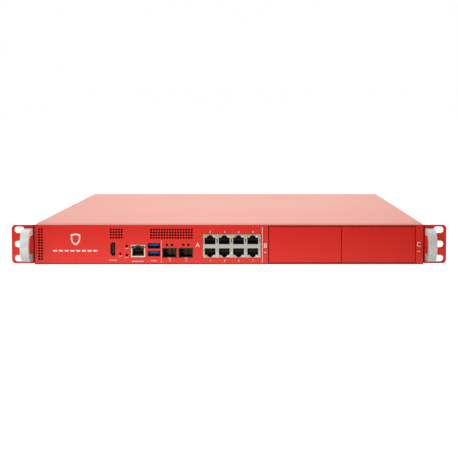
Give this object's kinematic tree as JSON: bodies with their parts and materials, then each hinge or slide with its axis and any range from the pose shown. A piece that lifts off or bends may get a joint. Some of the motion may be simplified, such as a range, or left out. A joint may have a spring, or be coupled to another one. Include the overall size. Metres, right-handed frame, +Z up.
{
  "type": "firewall appliance",
  "caption": "Flat rack-mount network security unit with slotted ears, bow handles, a front row of data ports, two blanked expansion bays and pull-out rear power supplies.",
  "frame": {"origin": "on the underside, in the middle of the overall width and depth", "axes": "+X to the right seen from the front, -Y towards the front panel, +Z up"},
  "size_m": [0.4826, 0.501, 0.044],
  "materials": {
    "red_panel": "satin powder coat",
    "red_chassis": "satin powder coat",
    "handle_silver": "bead-blasted matt",
    "dark_screw": "black zinc",
    "bright_screw": "zinc plated",
    "circuit_board": "solder mask",
    "processor_lid": "nickel plated",
    "heatsink_alloy": "mill finish",
    "black_plastic": "moulded",
    "cell_steel": "polished",
    "chip_epoxy": "moulded epoxy",
    "jack_shield": "tin plated, warm tone",
    "light_window": "translucent",
    "cream_plastic": "moulded",
    "port_steel": "nickel plated",
    "usb_blue": "moulded",
    "clear_plastic": "clear moulded",
    "button_grey": "moulded",
    "zinc_sheet": "galvanised",
    "rotor_plastic": "moulded",
    "guard_wire": "plated wire",
    "harness": "insulated wire and plugs",
    "stud_brass": "plated",
    "latch_green": "moulded"
  },
  "bodies": {
    "chassis": {"chassis_base": "red_chassis", "front_panel": "red_panel", "rear_panel": "red_chassis", "ear_left": "red_panel", "ear_right": "red_panel", "ear_screws": "dark_screw", "handle_left": "handle_silver", "handle_right": "handle_silver", "handle_screws": "dark_screw", "mainboard": "circuit_board", "board_screws": "bright_screw", "processor": "processor_lid", "heatsink": "heatsink_alloy", "memory_sockets": "black_plastic", "memory_modules": "circuit_board", "coin_cell": "cell_steel", "board_components": "chip_epoxy", "storage_card": "circuit_board", "lan_jack_shell": "jack_shield", "lan_jack_inserts": "black_plastic", "lan_port_lights": "light_window", "console_shell": "jack_shield", "console_insert": "cream_plastic", "usb_shells": "port_steel", "usb_tongues": "usb_blue", "video_connector": "port_steel", "fibre_cages": "jack_shield", "fibre_connectors": "black_plastic", "light_pipes": "clear_plastic", "reset_switch": "black_plastic", "bay_frame": "zinc_sheet", "bay_backplane": "circuit_board", "fan_frames": "black_plastic", "fan_guards": "guard_wire", "fan_screws": "dark_screw", "power_board": "circuit_board", "power_harness": "harness", "power_switch_body": "black_plastic", "ground_stud": "stud_brass", "psu_cage": "zinc_sheet"},
    "cover": {"top_cover": "red_panel", "cover_screws": "dark_screw"},
    "blank_b": {"slot_blank_b": "red_panel"},
    "blank_c": {"slot_blank_c": "red_panel"},
    "reset": {"reset_button": "button_grey"},
    "rocker": {"power_rocker": "button_grey"},
    "fan_1": {"fan_rotor_1": "rotor_plastic"},
    "fan_2": {"fan_rotor_2": "rotor_plastic"},
    "fan_3": {"fan_rotor_3": "rotor_plastic"},
    "fan_4": {"fan_rotor_4": "rotor_plastic"},
    "psu_1": {"psu_1_case": "zinc_sheet", "psu_1_inlet": "black_plastic", "psu_1_handle": "black_plastic"},
    "psu_1_lever": {"psu_1_latch": "latch_green"},
    "psu_1_fan": {"psu_1_fan_rotor": "rotor_plastic"},
    "psu_2": {"psu_2_case": "zinc_sheet", "psu_2_inlet": "black_plastic", "psu_2_handle": "black_plastic"},
    "psu_2_lever": {"psu_2_latch": "latch_green"},
    "psu_2_fan": {"psu_2_fan_rotor": "rotor_plastic"}
  },
  "joints": [
    {"name": "cover_lift", "type": "slide", "parent": "chassis", "child": "cover", "axis": [0, 0, 1], "range_m": [0, 0.12]},
    {"name": "blank_b_pull", "type": "slide", "parent": "chassis", "child": "blank_b", "axis": [0, -1, 0], "range_m": [0, 0.1]},
    {"name": "blank_c_pull", "type": "slide", "parent": "chassis", "child": "blank_c", "axis": [0, -1, 0], "range_m": [0, 0.1]},
    {"name": "reset_press", "type": "slide", "parent": "chassis", "child": "reset", "axis": [0, 1, 0], "range_m": [0, 0.0004], "stiffness_N_per_m": 400},
    {"name": "power_rock", "type": "hinge", "parent": "chassis", "child": "rocker", "pos_m": [-0.016, 0.2242, 0.022], "axis": [1, 0, 0], "range_deg": [0, 20]},
    {"name": "fan_1_spin", "type": "hinge", "parent": "chassis", "child": "fan_1", "pos_m": [-0.188, 0.21, 0.022], "axis": [0, 1, 0], "continuous": true},
    {"name": "fan_2_spin", "type": "hinge", "parent": "chassis", "child": "fan_2", "pos_m": [-0.146, 0.21, 0.022], "axis": [0, 1, 0], "continuous": true},
    {"name": "fan_3_spin", "type": "hinge", "parent": "chassis", "child": "fan_3", "pos_m": [-0.104, 0.21, 0.022], "axis": [0, 1, 0], "continuous": true},
    {"name": "fan_4_spin", "type": "hinge", "parent": "chassis", "child": "fan_4", "pos_m": [-0.062, 0.21, 0.022], "axis": [0, 1, 0], "continuous": true},
    {"name": "psu_1_pull", "type": "slide", "parent": "chassis", "child": "psu_1", "axis": [0, 1, 0], "range_m": [0, 0.2]},
    {"name": "psu_1_latch_squeeze", "type": "hinge", "parent": "psu_1", "child": "psu_1_lever", "pos_m": [0.1275, 0.2272, 0.022], "axis": [0, 0, 1], "range_deg": [0, 15], "stiffness_Nm_per_rad": 0.2},
    {"name": "psu_1_fan_spin", "type": "hinge", "parent": "psu_1", "child": "psu_1_fan", "pos_m": [0.1095, 0.212, 0.0218], "axis": [0, 1, 0], "continuous": true},
    {"name": "psu_2_pull", "type": "slide", "parent": "chassis", "child": "psu_2", "axis": [0, 1, 0], "range_m": [0, 0.2]},
    {"name": "psu_2_latch_squeeze", "type": "hinge", "parent": "psu_2", "child": "psu_2_lever", "pos_m": [0.2035, 0.2272, 0.022], "axis": [0, 0, 1], "range_deg": [0, 15], "stiffness_Nm_per_rad": 0.2},
    {"name": "psu_2_fan_spin", "type": "hinge", "parent": "psu_2", "child": "psu_2_fan", "pos_m": [0.1855, 0.212, 0.0218], "axis": [0, 1, 0], "continuous": true}
  ]
}
